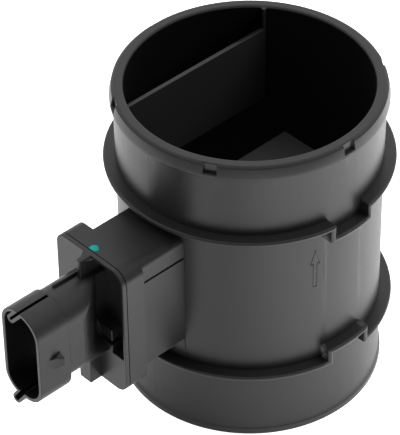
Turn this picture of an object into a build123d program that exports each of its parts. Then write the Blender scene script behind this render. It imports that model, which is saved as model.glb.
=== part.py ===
from build123d import *
import math
import os

# Mass airflow sensor: a moulded measuring tube with a plug-in sensor pressed into its side.
# Frame: +Z is the flow direction, the origin lies on the tube's axis at its inlet end,
# and the connector points along -X. Millimetres.

# ---------------------------------------------------------------- driving dimensions
# Measuring tube
bore_diameter = 76.0
tube_wall = 3.1
tube_length = 107.2
mouth_chamfer = 0.5
outlet_draft = 0.3
outlet_bead_proud = 1.3
outlet_lip_height = 1.5
outlet_lip_flare = 0.6
outlet_cone_height = 2.8
outlet_cone_draw = 0.65
outlet_edge_height = 0.6
outlet_edge_width = 0.85
inlet_draft = 0.4
inlet_bead_height = 2.2
inlet_bead_proud = 0.6
inlet_bead_bevel = 0.3
inlet_bead_flare = 1.0
notch_count = 6
notch_first_angle = 30.0
notch_width = 4.0

# Ribs that keep the hose clamps in place
rib_diameter = 90.0
rib_thickness = 1.7
inlet_rib_height = 25.2
outlet_rib_height = 79.3
rib_jog = 4.5
rib_jog_width = 13.6
rib_jog_wall = 1.8

# Guide plate that crosses the bore
guide_plate_offset = 23.2
guide_plate_thickness = 1.6
guide_plate_bottom = 72.0
guide_plate_top = 99.2
guide_strip_start = 28.6

# Side pocket that carries the plug-in sensor
pocket_right = -12.3
pocket_left = 9.7
pocket_bottom = 34.7
pocket_top = 76.0
pocket_side_wall = 2.2
pocket_end_wall = 3.2
pocket_edge_round = 0.8
groove_height = 67.4
groove_width = 0.8
groove_depth = 0.7

# Frame at the pocket's outer end
frame_front = -63.2
frame_depth = 7.1
frame_right = -13.4
frame_left = 16.2
frame_bottom = 28.8
frame_top = 76.2
frame_wall = 1.2
frame_floor = 1.6
frame_round_top_left = 3.7
frame_round_top_right = 5.0
frame_round_low_right = 4.5
frame_round_low_left = 2.0

# Flange of the plug-in sensor
flange_plate = 1.45
flange_fit = 0.15
flange_back_wall = 1.4
recess_rim = 0.9
recess_wall = 1.2
recess_bottom = 51.4
lane_width = 4.9
lane_bottom = 42.6
latch_slot_bottom = 45.5
latch_slot_height = 1.6
latch_slot_length = 5.0

# Web above the connector and foot below it
web_right = 0.6
web_root = 3.3
web_tip = 1.5
web_reach = 4.3
foot_right = -1.9
foot_width = 5.0
foot_reach = 4.3

# Connector shroud
shroud_mouth = -92.5
shroud_collar = -80.6
shroud_right = -7.3
shroud_left = 9.4
shroud_bottom = 36.5
shroud_top = 70.3
shroud_wall = 1.3
shroud_round_top_left = 6.8
shroud_round_top_right = 8.2
shroud_round_low_right = 7.4
shroud_round_low_left = 7.0
socket_depth = 17.0
neck_inset = 0.4
neck_step_below = 2.8
neck_step_above = 0.9
neck_rib_left = 4.2
neck_rib_width = 1.0
neck_rib_height = 0.9
neck_rib_length = 12.5
scoop_start = -74.5
scoop_right = -0.8
scoop_bottom = 43.0
key_start = 1.1
key_angle = -50.0
key_reach = 6.2
key_width = 3.1
key_slot_width = 0.8
drain_start = 1.4
drain_rise = 2.1
drain_angle = -55.0
drain_reach = 6.2
drain_width = 3.5
drain_wall = 0.95
nose_middle = 53.0
nose_front = -89.0
nose_back = -84.7
nose_proud = 2.4
nose_front_width = 3.0
nose_root_width = 6.0
nose_crest_width = 2.6

# Finger that reaches into the bore
finger_side_gap = 0.5
finger_end_gap = 0.8
finger_tip = 21.8
finger_edge_round = 0.8
cover_thickness = 1.2
cover_rest = 1.2
cover_gap = 0.1
bay_start = -50.0
bay_end = -12.0
bay_depth = 9.0
bay_end_wall = 5.0
bypass_start = -7.0
bypass_wall = 2.2
bypass_depth = 8.0
inlet_width = 7.0
bridge_thickness = 1.6
bridge_opening = 7.5
outlet_width = 8.0
outlet_height = 6.0

# Electronics
base_thickness = 1.0
board_thickness = 0.9
board_gap = 0.6
evaluation_chip_size = 7.0
evaluation_chip_thickness = 1.4
evaluation_chip_place = -24.0
capacitor_count = 4
capacitor_length = 2.0
capacitor_width = 1.25
capacitor_thickness = 0.9
capacitor_pitch = 4.5
capacitor_place = -34.0
carrier_width = 9.0
carrier_thickness = 1.0
carrier_height = 5.0
carrier_start = -17.0
carrier_end = 2.0
sensor_chip_size = 4.0
sensor_chip_thickness = 0.5
sensor_chip_place = -1.5
gel_thickness = 2.3

# Terminals
terminal_count = 4
terminal_pitch = 5.0
terminal_width = 1.5
terminal_thickness = 0.8
terminal_reach = 11.0
terminal_taper = 1.0
terminal_end = -46.5

# Seal, thermistor and paint mark
seal_thickness = 1.3
seal_width = 1.7
seal_round = 3.0
thermistor_place = -30.0
thermistor_notch_width = 6.0
thermistor_notch_depth = 3.8
thermistor_bead_diameter = 2.4
lead_diameter = 0.5
lead_spacing = 1.6
lead_overlap = 3.0
mark_diameter = 3.0
mark_thickness = 0.1
mark_place = -61.6
mark_offset = 2.3

# ---------------------------------------------------------------- derived values
bore_radius = bore_diameter / 2
tube_radius = bore_radius + tube_wall
rib_radius = rib_diameter / 2

frame_back = frame_front + frame_depth
frame_recess_floor = frame_back - frame_floor
flange_front = frame_front - flange_plate
plug_inset = frame_wall + flange_fit
plug_back = frame_recess_floor - seal_thickness
recess_floor = plug_back - flange_back_wall
lane_left = frame_right + recess_rim + lane_width

passage_right = pocket_right + pocket_side_wall
passage_left = pocket_left - pocket_side_wall
passage_bottom = pocket_bottom + pocket_end_wall
passage_top = pocket_top - pocket_end_wall
finger_right = passage_right + finger_side_gap
finger_left = passage_left - finger_side_gap
finger_bottom = passage_bottom + finger_end_gap
finger_top = passage_top - finger_end_gap

shroud_middle = (shroud_left + shroud_right) / 2
shroud_centre = (shroud_bottom + shroud_top) / 2
socket_floor = shroud_mouth + socket_depth
neck_left = shroud_left - neck_inset
neck_right = shroud_right + neck_inset
neck_bottom = shroud_bottom + neck_step_below
neck_top = shroud_top - neck_step_above

cover_seat = finger_left - cover_thickness
bay_floor = cover_seat - bay_depth
bay_bottom = finger_bottom + bay_end_wall
bay_top = finger_top - bay_end_wall
bypass_floor = cover_seat - bypass_depth
bypass_bottom = finger_bottom + bypass_wall
bypass_top = finger_top - bypass_wall
bypass_end = finger_tip - bypass_wall
bridge_right = bypass_end - inlet_width
outlet_middle = (bypass_start + bridge_right - bridge_thickness) / 2

base_top = bay_floor + base_thickness
board_top = base_top + board_thickness
board_middle = (bay_bottom + bay_top) / 2
carrier_right = bay_floor + carrier_height
lead_level = board_top + lead_diameter / 2
thermistor_level = finger_bottom + thermistor_notch_depth / 2


# ---------------------------------------------------------------- helpers
overshoot = 1.0  # how far a cutter runs past the face that it opens


def block(x0, x1, y0, y1, z0, z1):
    """A box given by its limits along each axis."""
    middle = ((x0 + x1) / 2, (y0 + y1) / 2, (z0 + z1) / 2)
    return Pos(*middle) * Box(x1 - x0, y1 - y0, z1 - z0)


def ring(inner, outer, z0, z1):
    """A flat ring about the flow axis."""
    solid = Cylinder(outer, z1 - z0) - Cylinder(inner, 2 * (z1 - z0))
    return Pos(0, 0, (z0 + z1) / 2) * solid


def rounded(y0, y1, z0, z1, top_left, top_right, low_right, low_left):
    """A rectangle across the connector's axis, each corner with its own radius."""
    face = Pos((y0 + y1) / 2, (z0 + z1) / 2) * Rectangle(y1 - y0, z1 - z0)
    corners = [(y1, z1, top_left), (y0, z1, top_right), (y0, z0, low_right), (y1, z0, low_left)]
    for y, z, radius in corners:
        if radius > 0:
            nearest = sorted(face.vertices(), key=lambda v: math.hypot(v.X - y, v.Y - z))[0]
            face = fillet(nearest, radius)
    return face


def prism(face, x0, x1):
    """A face drawn in (Y, Z), extruded along X."""
    return extrude(Plane.YZ.offset(x0) * face, amount=x1 - x0)


def slanted_slot(y, z, angle, reach, width):
    """A round-ended slot that starts at (y, z) and runs off at an angle."""
    middle_y = y + math.cos(math.radians(angle)) * reach / 2
    middle_z = z + math.sin(math.radians(angle)) * reach / 2
    return Pos(middle_y, middle_z) * Rot(0, 0, angle) * SlotOverall(reach + width, width)


def frame_outline(inset):
    """The outline that the frame and the flange share, drawn in by inset."""
    return rounded(frame_right + inset, frame_left - inset,
                   frame_bottom + inset, frame_top - inset,
                   frame_round_top_left - inset, frame_round_top_right - inset,
                   frame_round_low_right - inset, frame_round_low_left - inset)


# ---------------------------------------------------------------- tube housing
def tube_shell():
    """The drafted tube with its outlet bead, the notches above the bead's lip and the inlet bead."""
    bead = tube_radius + outlet_bead_proud
    cone_top = tube_length - outlet_edge_height
    lip_top = cone_top - outlet_cone_height
    lip_foot = lip_top - outlet_lip_height
    shoulder = bead - outlet_cone_draw
    drafted = tube_radius + inlet_draft
    foot = drafted + inlet_bead_proud
    outline = [
        (bore_radius + mouth_chamfer, 0),
        (foot - inlet_bead_bevel, 0),
        (foot, inlet_bead_bevel),
        (foot, inlet_bead_height),
        (drafted, inlet_bead_height + inlet_bead_flare),
        (tube_radius, inlet_rib_height),
        (tube_radius, outlet_rib_height),
        (tube_radius + outlet_draft, lip_foot - outlet_lip_flare),
        (bead, lip_foot),
        (bead, lip_top),
        (shoulder, cone_top),
        (shoulder - outlet_edge_width, tube_length),
        (bore_radius + mouth_chamfer, tube_length),
        (bore_radius, tube_length - mouth_chamfer),
        (bore_radius, mouth_chamfer),
    ]
    shell = revolve(Plane.XZ * make_face(Polyline(*outline, close=True)), Axis.Z)
    notch = block(tube_radius, bead + overshoot, -notch_width / 2, notch_width / 2,
                  lip_top, tube_length + overshoot)
    for index in range(notch_count):
        shell -= Rot(0, 0, notch_first_angle + index * 360 / notch_count) * notch
    return shell


def clamp_rib(height, jog):
    """A clamp rib that steps by jog at the front and the back of the tube."""
    inner_half = rib_jog_width / 2
    outer_half = inner_half + rib_jog_wall
    low = min(height, height + jog)
    high = max(height, height + jog) + rib_thickness
    root = tube_radius - tube_wall / 2
    below = low - overshoot
    above = high + overshoot
    gap = block(-inner_half, inner_half, -rib_diameter, rib_diameter, below, above)
    window = block(-outer_half, outer_half, -rib_diameter, rib_diameter, below, above)
    main = ring(root, rib_radius, height, height + rib_thickness) - gap
    shifted = ring(root, rib_radius, height + jog, height + jog + rib_thickness) & window
    ends = (ring(root, rib_radius, low, high) & window) - gap
    return main + shifted + ends


def guide_plate():
    """The plate that crosses the bore as a chord, and the strip from its end to the outlet."""
    core = Pos(0, 0, tube_length / 2) * Cylinder(bore_radius + tube_wall / 2, tube_length)
    back = guide_plate_offset + guide_plate_thickness
    plate = block(-rib_radius, rib_radius, guide_plate_offset, back,
                  guide_plate_bottom, guide_plate_top)
    strip = block(guide_strip_start, rib_radius, guide_plate_offset, back,
                  guide_plate_bottom, tube_length - mouth_chamfer)
    return (plate + strip) & core


def side_pocket():
    """The box on the tube's side with its groove, and the frame at its outer end."""
    box = block(frame_back - frame_floor, 0, pocket_right, pocket_left, pocket_bottom, pocket_top)
    box = fillet(box.edges().filter_by(Axis.X), pocket_edge_round)
    groove = block(frame_back, 0, pocket_right - overshoot, pocket_right + groove_depth,
                   groove_height, groove_height + groove_width)
    return (box - groove) + prism(frame_outline(0), frame_front, frame_back)


def pocket_cavity():
    """The hollow of the frame, and the passage through the pocket into the bore."""
    recess = prism(frame_outline(frame_wall), frame_front - overshoot, frame_recess_floor)
    passage = block(frame_recess_floor - overshoot, 0, passage_right, passage_left,
                    passage_bottom, passage_top)
    return recess + passage


def tube_housing():
    bore = Pos(0, 0, tube_length / 2) * Cylinder(bore_radius, tube_length * 2)
    housing = side_pocket() - bore
    housing += tube_shell()
    housing += clamp_rib(inlet_rib_height, rib_jog)
    housing += clamp_rib(outlet_rib_height, -rib_jog)
    housing -= pocket_cavity()
    return housing + guide_plate()


# ---------------------------------------------------------------- sensor body
def flange():
    """The flange plate and the plug behind it, hollowed beside and above the connector."""
    solid = prism(frame_outline(0), flange_front, frame_front)
    solid += prism(frame_outline(plug_inset), frame_front, plug_back)
    for wall, depth in ((recess_rim, frame_front), (plug_inset + recess_wall, recess_floor)):
        right = frame_right + wall
        corner = frame_round_top_right - wall
        window = rounded(right, web_right, recess_bottom, frame_top - wall, 0, corner, 0, 0)
        lane = rounded(right, lane_left, lane_bottom, recess_bottom + corner, 0, 0, 0, 0)
        solid -= prism(window + lane, flange_front - overshoot, depth)
    latch_slot = block(flange_front - overshoot, recess_floor, lane_left - overshoot,
                       lane_left + latch_slot_length,
                       latch_slot_bottom, latch_slot_bottom + latch_slot_height)
    return solid - latch_slot


def web_and_foot():
    """The tapered web above the connector and the foot below it."""
    front = flange_front - web_reach
    plan = Polyline((flange_front, web_right), (front, web_right), (front, web_right + web_tip),
                    (flange_front - web_reach / 2, web_right + web_tip + (web_root - web_tip) / 4),
                    (flange_front, web_right + web_root), close=True)
    web = Pos(0, 0, shroud_centre) * extrude(make_face(plan), amount=frame_top - shroud_centre)
    foot = block(flange_front - foot_reach, flange_front, foot_right, foot_right + foot_width,
                 frame_bottom, shroud_centre)
    return web + foot


def shroud_outline(inset, left, right, bottom, top):
    """The shroud's outline between the given limits, its corners drawn in by inset."""
    return rounded(right, left, bottom, top,
                   shroud_round_top_left - inset, shroud_round_top_right - inset,
                   shroud_round_low_right - inset, shroud_round_low_left - inset)


def key_outline(width):
    """The key folded into the shroud's top, leaning towards its left wall."""
    return slanted_slot(key_start, shroud_top, key_angle, key_reach, width)


def drain_outline(width):
    """The key channel that runs out of the shroud's lower left."""
    return slanted_slot(drain_start, shroud_bottom + drain_rise, drain_angle, drain_reach, width)


def locking_nose():
    """The wedge that the plug's latch snaps over: a ramp with slanted flanks."""
    root = shroud_right + shroud_wall / 2
    crest = shroud_right - nose_proud
    side = Polyline((nose_front, root), (nose_front, shroud_right), (nose_back, crest),
                    (nose_back, root), close=True)
    ramp = Pos(0, 0, nose_middle - nose_root_width) * extrude(
        make_face(side), amount=2 * nose_root_width)
    across = Polyline((root, nose_middle - nose_root_width / 2),
                      (shroud_right, nose_middle - nose_root_width / 2),
                      (crest, nose_middle - nose_crest_width / 2),
                      (crest, nose_middle + nose_crest_width / 2),
                      (shroud_right, nose_middle + nose_root_width / 2),
                      (root, nose_middle + nose_root_width / 2), close=True)
    flanks = prism(make_face(across), nose_front, nose_back)
    face_on = Polyline((nose_front, nose_middle - nose_front_width / 2),
                       (nose_back, nose_middle - nose_root_width / 2),
                       (nose_back, nose_middle + nose_root_width / 2),
                       (nose_front, nose_middle + nose_front_width / 2), close=True)
    taper = extrude(Plane.XZ * make_face(face_on), amount=2 * nose_root_width, both=True)
    return ramp & flanks & taper


def terminal_height(index):
    return shroud_centre + (index - (terminal_count - 1) / 2) * terminal_pitch


def neck():
    """The neck between the shroud and the recess, hollowed slantwise on its right side."""
    solid = prism(shroud_outline(neck_inset, neck_left, neck_right, neck_bottom, neck_top),
                  shroud_collar, recess_floor)
    outside = neck_right - overshoot
    plan = Polyline((scoop_start, neck_right), (flange_front, scoop_right),
                    (recess_floor, scoop_right), (recess_floor, outside),
                    (scoop_start, outside), close=True)
    return solid - Pos(0, 0, scoop_bottom) * extrude(make_face(plan),
                                                     amount=shroud_top - scoop_bottom)


def connector():
    """The shroud with its socket, key, key channel and locking nose, and the neck behind it."""
    outline = shroud_outline(0, shroud_left, shroud_right, shroud_bottom, shroud_top)
    solid = prism(outline + drain_outline(drain_width), shroud_mouth, shroud_collar)
    solid += neck()
    solid += block(flange_front - neck_rib_length, flange_front,
                   neck_rib_left - neck_rib_width, neck_rib_left,
                   shroud_centre, neck_top + neck_rib_height)
    cavity = shroud_outline(shroud_wall, shroud_left - shroud_wall, shroud_right + shroud_wall,
                            shroud_bottom + shroud_wall, shroud_top - shroud_wall)
    cavity -= key_outline(key_width)
    solid -= prism(cavity, shroud_mouth - overshoot, socket_floor)
    drain = prism(drain_outline(drain_width - 2 * drain_wall),
                  shroud_mouth - overshoot, shroud_collar - drain_wall)
    slot = prism(key_outline(key_slot_width), shroud_mouth - overshoot, shroud_collar)
    return solid - drain - slot + locking_nose()


def finger():
    """The finger with its electronics bay, measuring bypass and thermistor notch."""
    solid = block(plug_back, finger_tip, finger_right, finger_left, finger_bottom, finger_top)
    solid = fillet(solid.edges().filter_by(Axis.X), finger_edge_round)
    solid -= block(bay_start, bay_end, bay_floor, finger_left, bay_bottom, bay_top)
    solid -= cover_plate(bay_start, bay_end, bay_bottom, bay_top, 0)
    bypass = block(bypass_start, bypass_end, bypass_floor, finger_left, bypass_bottom, bypass_top)
    bridge = block(bridge_right - bridge_thickness, bridge_right, bypass_floor, cover_seat,
                   bypass_bottom, bypass_top - bridge_opening)
    solid -= bypass - bridge
    solid -= cover_plate(bypass_start, bypass_end, bypass_bottom, bypass_top, 0)
    solid -= block(bridge_right, bypass_end, bypass_floor, cover_seat,
                   finger_bottom - overshoot, bypass_bottom)
    solid -= carrier_block()
    half = thermistor_notch_width / 2
    solid -= block(thermistor_place - half, thermistor_place + half,
                   finger_right - overshoot, finger_left + overshoot,
                   finger_bottom - overshoot, finger_bottom + thermistor_notch_depth)
    return solid


def sensor_body():
    body = flange() + web_and_foot() + connector() + finger()
    for index in range(terminal_count):
        body -= terminal_bar(index)
    for side in (-1, 1):
        body -= lead_rod(side)
    return body


# ---------------------------------------------------------------- covers and seal
def cover_plate(x0, x1, z0, z1, gap):
    """A cover that lies in its rebate, flush with the finger's left face."""
    rest = cover_rest - gap
    return block(x0 - rest, x1 + rest, cover_seat, finger_left, z0 - rest, z1 + rest)


def electronics_cover():
    return cover_plate(bay_start, bay_end, bay_bottom, bay_top, cover_gap)


def bypass_cover():
    """The bypass's cover, with the window where the measured air leaves."""
    plate = cover_plate(bypass_start, bypass_end, bypass_bottom, bypass_top, cover_gap)
    outlet = block(outlet_middle - outlet_width / 2, outlet_middle + outlet_width / 2,
                   cover_seat - overshoot, finger_left + overshoot,
                   bypass_bottom, bypass_bottom + outlet_height)
    return plate - outlet


def body_seal():
    """The rubber ring between the plug and the floor of the frame's recess."""
    outer = rounded(passage_right - seal_width, passage_left + seal_width,
                    passage_bottom - seal_width, passage_top + seal_width,
                    seal_round, seal_round, seal_round, seal_round)
    inner = rounded(passage_right, passage_left, passage_bottom, passage_top, 0, 0, 0, 0)
    return prism(outer - inner, plug_back, frame_recess_floor)


# ---------------------------------------------------------------- electronics
def terminal_bar(index):
    """The straight part of a terminal, from the socket to the bay."""
    z = terminal_height(index)
    return block(socket_floor - terminal_reach, terminal_end,
                 shroud_middle - terminal_thickness / 2, shroud_middle + terminal_thickness / 2,
                 z - terminal_width / 2, z + terminal_width / 2)


def terminal(index):
    """A terminal blade with its tapered tip and the leg that stands on the board."""
    z = terminal_height(index)
    bar = terminal_bar(index)
    tip = bar.faces().sort_by(Axis.X)[0]
    bar = chamfer(tip.edges().filter_by(Axis.Z), terminal_thickness / 3, terminal_taper,
                  reference=tip)
    leg = block(terminal_end - terminal_thickness, terminal_end, board_top, shroud_middle,
                z - terminal_width / 2, z + terminal_width / 2)
    return bar + leg


def bay_sheet(y0, y1, gap):
    """A sheet that fills the bay between two levels, with a gap all round."""
    return block(bay_start + gap, bay_end - gap, y0, y1, bay_bottom + gap, bay_top - gap)


def evaluation_chip():
    half = evaluation_chip_size / 2
    return block(evaluation_chip_place - half, evaluation_chip_place + half,
                 board_top, board_top + evaluation_chip_thickness,
                 board_middle - half, board_middle + half)


def capacitor(index):
    z = board_middle + (index - (capacitor_count - 1) / 2) * capacitor_pitch
    return block(capacitor_place - capacitor_length / 2, capacitor_place + capacitor_length / 2,
                 board_top, board_top + capacitor_thickness,
                 z - capacitor_width / 2, z + capacitor_width / 2)


def carrier_block():
    return block(carrier_start, carrier_end, carrier_right, carrier_right + carrier_thickness,
                 board_middle - carrier_width / 2, board_middle + carrier_width / 2)


def sensor_chip():
    half = sensor_chip_size / 2
    level = carrier_right + carrier_thickness
    return block(sensor_chip_place - half, sensor_chip_place + half,
                 level, level + sensor_chip_thickness, board_middle - half, board_middle + half)


def lead_rod(side):
    """One thermistor lead, from the bead up onto the board."""
    length = bay_bottom + board_gap + lead_overlap - thermistor_level
    rod = Cylinder(lead_diameter / 2, length, align=(Align.CENTER, Align.CENTER, Align.MIN))
    return Pos(thermistor_place + side * lead_spacing / 2, lead_level, thermistor_level) * rod


def thermistor_bead():
    return Pos(thermistor_place, lead_level, thermistor_level) * Sphere(
        thermistor_bead_diameter / 2)


def protective_gel(buried):
    """The gel over the board, around everything that stands in it."""
    gel = bay_sheet(board_top, board_top + gel_thickness, 0)
    for piece in buried:
        gel -= piece
    return gel


def paint_mark():
    disc = Cylinder(mark_diameter / 2, mark_thickness,
                    align=(Align.CENTER, Align.CENTER, Align.MIN))
    return Pos(mark_place, mark_offset, frame_top) * disc


# ---------------------------------------------------------------- all pieces
def all_pieces():
    pieces = {
        "tube_housing": tube_housing(),
        "sensor_body": sensor_body(),
        "electronics_cover": electronics_cover(),
        "bypass_cover": bypass_cover(),
        "body_seal": body_seal(),
        "base_plate": bay_sheet(bay_floor, base_top, board_gap),
        "circuit_board": bay_sheet(base_top, board_top, board_gap),
        "chip_carrier": carrier_block(),
        "sensor_chip": sensor_chip(),
        "thermistor_bead": thermistor_bead(),
        "paint_mark": paint_mark(),
    }
    buried = {"evaluation_chip": evaluation_chip()}
    for index in range(capacitor_count):
        buried[f"capacitor_{index + 1}"] = capacitor(index)
    for index in range(terminal_count):
        buried[f"terminal_{index + 1}"] = terminal(index)
    for number, side in ((1, -1), (2, 1)):
        buried[f"thermistor_lead_{number}"] = lead_rod(side) - thermistor_bead()
    pieces["protective_gel"] = protective_gel(buried.values())
    return {**pieces, **buried}


def main():
    os.makedirs("parts", exist_ok=True)
    for name, piece in all_pieces().items():
        export_step(piece, f"parts/{name}.step")


if __name__ == "__main__":
    main()
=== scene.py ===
import math

import bmesh
import bpy
from bpy.props import FloatProperty, FloatVectorProperty, PointerProperty
from mathutils import Euler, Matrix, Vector


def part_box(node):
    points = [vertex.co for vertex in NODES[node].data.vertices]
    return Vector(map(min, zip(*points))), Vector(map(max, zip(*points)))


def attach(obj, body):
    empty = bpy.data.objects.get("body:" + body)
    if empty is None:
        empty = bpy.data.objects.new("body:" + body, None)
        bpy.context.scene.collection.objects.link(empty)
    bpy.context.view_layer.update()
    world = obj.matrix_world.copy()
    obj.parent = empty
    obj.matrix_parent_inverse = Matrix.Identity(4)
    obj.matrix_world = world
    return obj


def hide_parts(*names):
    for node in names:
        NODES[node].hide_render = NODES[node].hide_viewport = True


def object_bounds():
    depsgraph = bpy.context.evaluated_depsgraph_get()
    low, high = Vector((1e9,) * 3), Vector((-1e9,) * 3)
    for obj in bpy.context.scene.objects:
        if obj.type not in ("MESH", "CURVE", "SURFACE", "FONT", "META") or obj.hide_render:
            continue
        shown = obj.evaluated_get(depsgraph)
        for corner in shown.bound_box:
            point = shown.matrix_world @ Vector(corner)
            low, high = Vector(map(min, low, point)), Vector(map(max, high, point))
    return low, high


bl_info = {
    "name": "Mass Airflow Sensor",
    "version": (1, 0, 0),
    "blender": (4, 5, 0),
    "location": "3D View > Sidebar > Airflow Sensor",
    "description": "Dresses the measuring tube and its plug-in sensor",
    "category": "Add Mesh",
}

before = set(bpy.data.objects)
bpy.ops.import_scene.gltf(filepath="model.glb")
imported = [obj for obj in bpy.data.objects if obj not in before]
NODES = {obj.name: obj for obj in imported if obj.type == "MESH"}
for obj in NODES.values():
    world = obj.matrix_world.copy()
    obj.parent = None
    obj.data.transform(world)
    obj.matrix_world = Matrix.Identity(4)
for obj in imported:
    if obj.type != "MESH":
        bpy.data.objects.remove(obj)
CAD_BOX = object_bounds()
TERMINALS, CAPACITORS, LEADS = (
    sorted(name for name in NODES if name.startswith(start))
    for start in ("terminal_", "capacitor_", "thermistor_lead"))
MM = 0.001

# Where the mouldings' features lie, in metres. A reach is a distance from the tube's axis,
# and what lies within NEAR of a face is taken to be on it.
NEAR = 0.0001
# The bore and socket numbers bound the painted shade inside the bore and the socket.
BORE_REACH = (0.0374, 0.0382)
BORE_TOP = 0.1064
PLATE_REACH = 0.0375
WALL_REACH = 0.0365
RIB_REACH = (0.0435, 0.0452)
FRAME_FRONT, FRAME_BACK = -0.0632, -0.0561
CORNER_Y, CORNER_Z, CORNER_ROUND = -0.0084, 0.0712, 0.0050
POCKET_FOOT, POCKET_RIGHT, POCKET_TOP, POCKET_ROUND = -0.038, -0.0123, 0.0760, 0.0008
NECK_RIGHT = -0.0069
POCKET_BOX = ((-1, POCKET_FOOT), (-0.0136, 0.0165), (0.028, 0.0765))
GROOVE_BOX = ((-1, -0.036), (-0.0125, -0.0113), (0.0672, 0.0684))
SOCKET_DEPTH, SOCKET_CENTRE = (-0.0922, -0.0808), (0.00105, 0.0534)
SOCKET_FLATS, SOCKET_ROUND = (0.00065, 0.0092), 0.0070


# -------------------- settings
def setting(kind, **fixed):
    """A maker of one sort of setting, from its name, its description and its default."""
    def make(name, description, default):
        return kind(name=name, description=description, default=default, **fixed)

    return make


length = setting(FloatProperty, subtype="DISTANCE", unit="LENGTH", precision=5)
factor = setting(FloatProperty, subtype="FACTOR", min=0.0, max=1.0)
angle = setting(FloatProperty, subtype="ANGLE", unit="ROTATION")
colour = setting(FloatVectorProperty, size=3, subtype="COLOR", min=0.0, max=1.0)


class TubeSettings(bpy.types.PropertyGroup):
    edge_round: length("Edge round", "Radius on the tube's moulded edges", 0.00028)
    rib_round: length("Rib round", "Radius on the clamp ribs' outer edges", 0.00075)
    pocket_round: length("Pocket round", "Radius on the pocket's top right edge", 0.0032)
    joint_round: length("Joint round", "Radius on the edges beside the joint", 0.00006)
    joint_gap: length("Joint gap", "How far the frame stands back from the flange", 0.00026)
    plate_round: length("Plate round", "Radius on the guide plate's edges", 0.00012)
    groove_round: length("Groove round", "Radius on the fine edges of the pocket's groove",
                         0.00008)
    plastic: colour("Plastic", "Colour of the glass-filled housing plastic",
                    (0.0115, 0.0115, 0.0118))
    roughness: factor("Roughness", "How matt the housing plastic is", 0.35)


class PlugSettings(bpy.types.PropertyGroup):
    edge_round: length("Edge round", "Radius on the plug-in sensor's edges", 0.00025)
    blend_start: length("Blend start", "Where the neck's side starts to turn in", -0.0755)
    blend_end: length("Blend end", "Where the turn meets the flange's front", -0.06465)
    blend_depth: length("Blend depth", "How far the neck's side is turned in", 0.0060)
    cover_round: length("Cover round", "Radius on the edges of the two covers", 0.00015)
    plastic: colour("Plastic", "Colour of the sensor's plastic", (0.0125, 0.0125, 0.0124))
    roughness: factor("Roughness", "How matt the sensor's plastic is", 0.35)


class ArrowSettings(bpy.types.PropertyGroup):
    place: angle("Place", "Where the flow arrow stands round the tube", math.radians(-105.3))
    tip: length("Tip", "Height of the arrow's tip", 0.0709)
    shoulder: length("Shoulder", "Height of the arrow head's lower edge", 0.0655)
    tail: length("Tail", "Height of the shaft's lower end", 0.0566)
    head_width: length("Head width", "Width across the arrow head", 0.0032)
    shaft_width: length("Shaft width", "Width across the shaft", 0.0013)
    line: length("Line", "Width of the moulded line", 0.00030)
    tube_radius: length("Tube radius", "Outside radius of the wall between the ribs", 0.0411)


class SeamSettings(bpy.types.PropertyGroup):
    width: length("Width", "Width of the mould's parting line", 0.00022)
    sink: factor("Sink", "Share of the line that lies inside the wall", 0.72)


class TerminalSettings(bpy.types.PropertyGroup):
    thickness: length("Thickness", "Sheet thickness of a terminal", 0.0008)
    width: length("Width", "Width of a terminal blade", 0.0015)
    bend: length("Bend", "Inside radius where a terminal turns down to the board", 0.0005)
    nose: length("Nose", "Length of a blade's tapered end", 0.0011)
    metal: colour("Metal", "Colour of the tinned blades", (0.66, 0.64, 0.58))


class PaintSettings(bpy.types.PropertyGroup):
    across: length("Across", "Longest way across the inspection dab", 0.0031)
    height: length("Height", "How far the dab stands up", 0.00012)
    paint: colour("Paint", "Colour of the inspection dab", (0.003, 0.345, 0.29))


class StageSettings(bpy.types.PropertyGroup):
    floor_size: length("Floor size", "Side of the floor", 0.6)
    floor_tint: colour("Floor tint", "Colour of the floor", (0.82, 0.82, 0.82))
    eye: FloatVectorProperty(name="Eye", description="Where the camera stands", size=3,
                             subtype="TRANSLATION", unit="LENGTH", precision=5,
                             default=(-0.456053, -0.472619, 0.607743))
    gaze: FloatVectorProperty(name="Gaze", description="The way the camera looks", size=3,
                              subtype="DIRECTION", precision=5,
                              default=(0.517522, 0.562310, -0.644963))
    roll: angle("Roll", "How far the camera is turned about its own line of sight",
                math.radians(-0.861))
    lens: FloatProperty(name="Lens", default=227.75, min=1.0,
                        description="Focal length on a 36 mm sensor, in millimetres")
    key: FloatProperty(name="Key lamp", description="Power of the key lamp", default=4.0,
                       subtype="POWER", unit="POWER")
    sky: factor("Sky", "Strength of the room's light", 0.9)


class SensorSettings(bpy.types.PropertyGroup):
    tube: PointerProperty(type=TubeSettings)
    plug: PointerProperty(type=PlugSettings)
    arrow: PointerProperty(type=ArrowSettings)
    seam: PointerProperty(type=SeamSettings)
    terminals: PointerProperty(type=TerminalSettings)
    paint: PointerProperty(type=PaintSettings)
    stage: PointerProperty(type=StageSettings)


# -------------------- node building
def socket_of(sockets, key):
    """A socket by its identifier, or by its name where no identifier fits."""
    for socket in sockets:
        if socket.identifier == key:
            return socket
    return sockets[key]


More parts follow.
